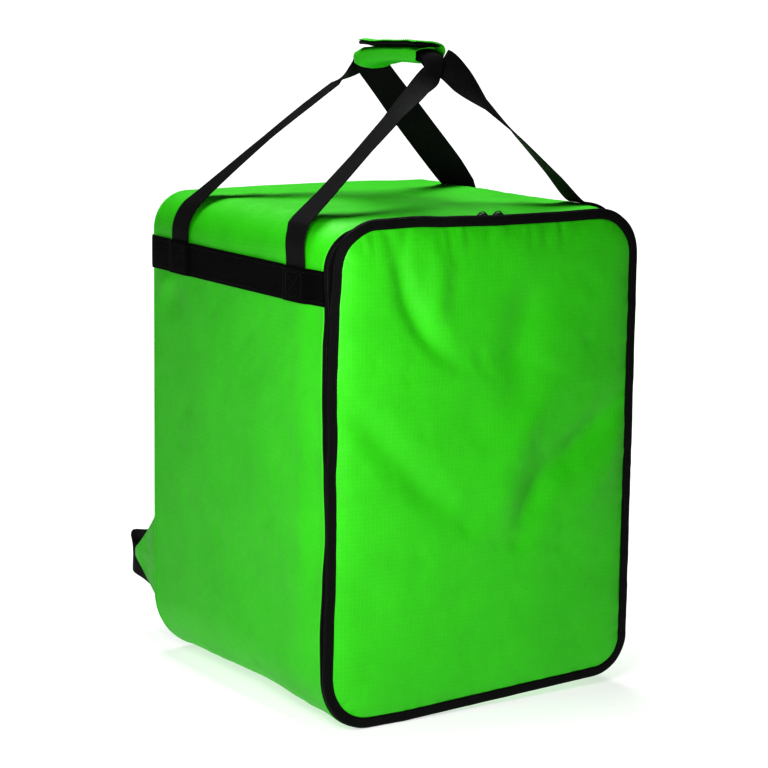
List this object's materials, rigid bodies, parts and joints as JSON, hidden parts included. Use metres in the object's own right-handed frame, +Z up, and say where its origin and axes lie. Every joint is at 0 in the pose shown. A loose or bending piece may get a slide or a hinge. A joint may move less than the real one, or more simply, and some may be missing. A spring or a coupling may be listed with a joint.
{
  "type": "insulated backpack",
  "caption": "box-shaped insulated delivery backpack with a bound zipped front door, webbing band, carrying handles in a grip wrap, and padded shoulder straps",
  "frame": {"origin": "on the floor, under the middle of the bag", "axes": "+Z up, -Y towards the door at the front, +Y towards the shoulder straps at the back, +X to the right as seen from the front"},
  "size_m": [0.4288, 0.5304, 0.7466],
  "materials": {
    "green_cloth": "coated nylon cloth, satin",
    "black_webbing": "ribbed webbing, slight sheen",
    "black_plastic": "satin"
  },
  "bodies": {
    "root": {"body_wrap": "green_cloth", "back_panel": "green_cloth", "front_door": "green_cloth", "handle_grip": "green_cloth", "shoulder_strap_left": "green_cloth", "shoulder_strap_right": "green_cloth", "strap_wing_left": "green_cloth", "strap_wing_right": "green_cloth", "zip_tape": "black_webbing", "door_binding": "black_webbing", "upper_band": "black_webbing", "grip_fastener": "black_webbing", "handle_strap_left": "black_webbing", "handle_strap_right": "black_webbing", "buckle_keeper_left": "black_webbing", "buckle_keeper_right": "black_webbing", "strap_webbing_left": "black_webbing", "strap_webbing_right": "black_webbing", "zip_slider_left": "black_plastic", "zip_slider_right": "black_plastic", "buckle_left": "black_plastic", "buckle_right": "black_plastic"}
  },
  "joints": []
}
